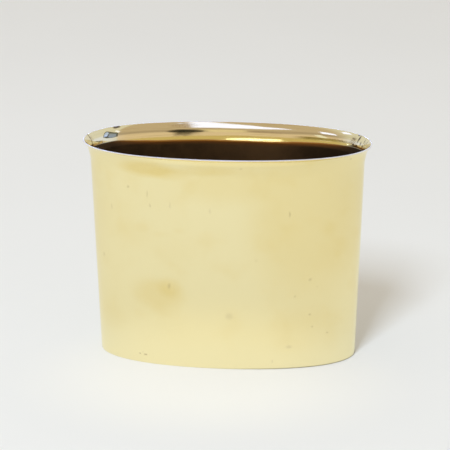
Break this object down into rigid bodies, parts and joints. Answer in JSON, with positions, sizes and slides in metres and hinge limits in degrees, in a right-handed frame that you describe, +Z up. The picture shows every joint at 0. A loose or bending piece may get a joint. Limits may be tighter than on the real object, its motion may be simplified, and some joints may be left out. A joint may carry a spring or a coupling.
{
  "type": "oval vase",
  "caption": "Tapered oval sheet-brass flower vase with a flared mouth, a brazed end seam and a soldered recessed bottom.",
  "frame": {"origin": "centre of the foot outline, on the surface that the vase stands on", "axes": "+X along the long side, away from the brazed seam; +Y towards the back; +Z up through the mouth"},
  "size_m": [0.2, 0.0908, 0.156],
  "materials": {
    "polished_brass": "polished pale brass with a faint haze and fine scratches",
    "braze": "filed and polished brazing brass, slightly paler than the sheet",
    "dull_brass": "unpolished aged brass",
    "solder": "dull grey tin solder"
  },
  "bodies": {
    "root": {"wall": "polished_brass", "seam_braze": "braze", "base_plate": "dull_brass", "base_solder": "solder"}
  },
  "joints": []
}
